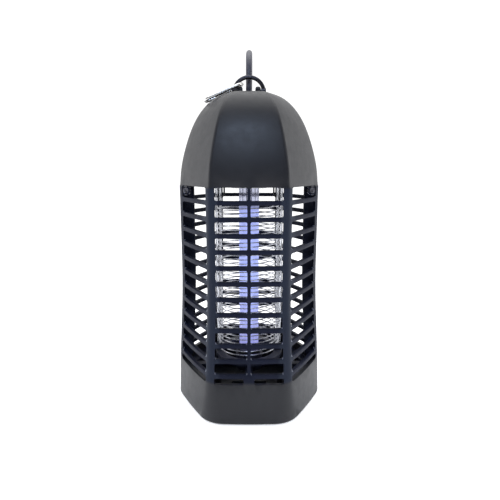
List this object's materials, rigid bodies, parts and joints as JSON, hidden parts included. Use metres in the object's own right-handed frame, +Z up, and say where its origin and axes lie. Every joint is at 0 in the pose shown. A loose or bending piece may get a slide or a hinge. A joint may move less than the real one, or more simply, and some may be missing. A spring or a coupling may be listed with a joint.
{
  "type": "electric bug zapper",
  "caption": "Six-sided hanging lantern that lures flying insects with a violet lamp through a slatted cage onto a high-voltage wire grid over a catch tray.",
  "frame": {"origin": "centre of the base's underside, the plane that the skirt stands on", "axes": "+Z up, -Y towards the front facet, +X to the right, through two corners of the six-sided body"},
  "size_m": [0.1245, 0.179, 0.2879],
  "materials": {
    "shell_black": "fine satin texture",
    "inner_black": "plain moulded",
    "tray_black": "satin",
    "screw_steel": "blackened",
    "rod_clear": "polished",
    "grid_steel": "drawn wire",
    "lamp_glass": "fluorescent coated glass, lit violet",
    "lamp_cap_white": "moulded",
    "brass_pin": "polished",
    "holder_white": "moulded",
    "board_brown": "laminate",
    "component_red": "dipped",
    "choke_core": "ferrite",
    "can_aluminium": "sleeved can",
    "diode_black": "moulded",
    "lead_insulation": "insulated",
    "cord_sheath": "smooth sheath",
    "gland_rubber": "moulded",
    "plug_black": "moulded",
    "plug_nickel": "nickel plated",
    "bail_black": "black enamel",
    "hook_steel": "nickel plated"
  },
  "bodies": {
    "housing": {"front_shell": "shell_black", "rear_shell": "shell_black", "shell_screws": "screw_steel", "upper_plate": "inner_black", "lower_plate": "inner_black", "upper_plate_screws": "screw_steel", "lower_plate_screws": "screw_steel", "lamp_rest": "gland_rubber", "grid_rods": "rod_clear", "grid_wire_live": "grid_steel", "grid_wire_return": "grid_steel", "grid_leads": "cord_sheath", "lamp_tube": "lamp_glass", "lamp_cap": "lamp_cap_white", "lamp_pins": "brass_pin", "lampholder": "holder_white", "lamp_leads": "lead_insulation", "driver_board": "board_brown", "board_screws": "screw_steel", "film_capacitors": "component_red", "ballast_choke": "choke_core", "smoothing_capacitor": "can_aluminium", "rectifier_diodes": "diode_black", "supply_leads": "lead_insulation", "cord_gland": "gland_rubber", "cord_inner_end": "cord_sheath", "cord_stop": "holder_white", "mains_cord": "cord_sheath", "cord_coil": "cord_sheath", "cord_tail": "cord_sheath", "plug_body": "plug_black", "plug_pins": "plug_nickel"},
    "bail": {"bail": "bail_black"},
    "hook": {"hook_frame": "hook_steel", "gate_pin": "hook_steel"},
    "gate": {"hook_gate": "hook_steel"},
    "tray": {"collection_tray": "tray_black"}
  },
  "joints": [
    {"name": "bail_fold", "type": "hinge", "parent": "housing", "child": "bail", "pos_m": [0, 0, 0.2503], "axis": [1, 0, 0], "range_deg": [0, 45]},
    {"name": "hook_swing", "type": "hinge", "parent": "bail", "child": "hook", "pos_m": [-0.00542, 0, 0.25508], "axis": [0, 1, 0], "range_deg": [0, 90]},
    {"name": "gate_open", "type": "hinge", "parent": "hook", "child": "gate", "pos_m": [-0.01371, 0.00505, 0.25156], "axis": [-0.3907, 0, 0.9205], "range_deg": [0, 15], "stiffness_Nm_per_rad": 0.004, "springref_deg": -17.19},
    {"name": "tray_drop", "type": "slide", "parent": "housing", "child": "tray", "axis": [0, 0, -1], "range_m": [0, 0.03]}
  ],
  "couplings": [
    {"joint": "hook_swing", "follows": "bail_fold", "ratio": 2}
  ]
}
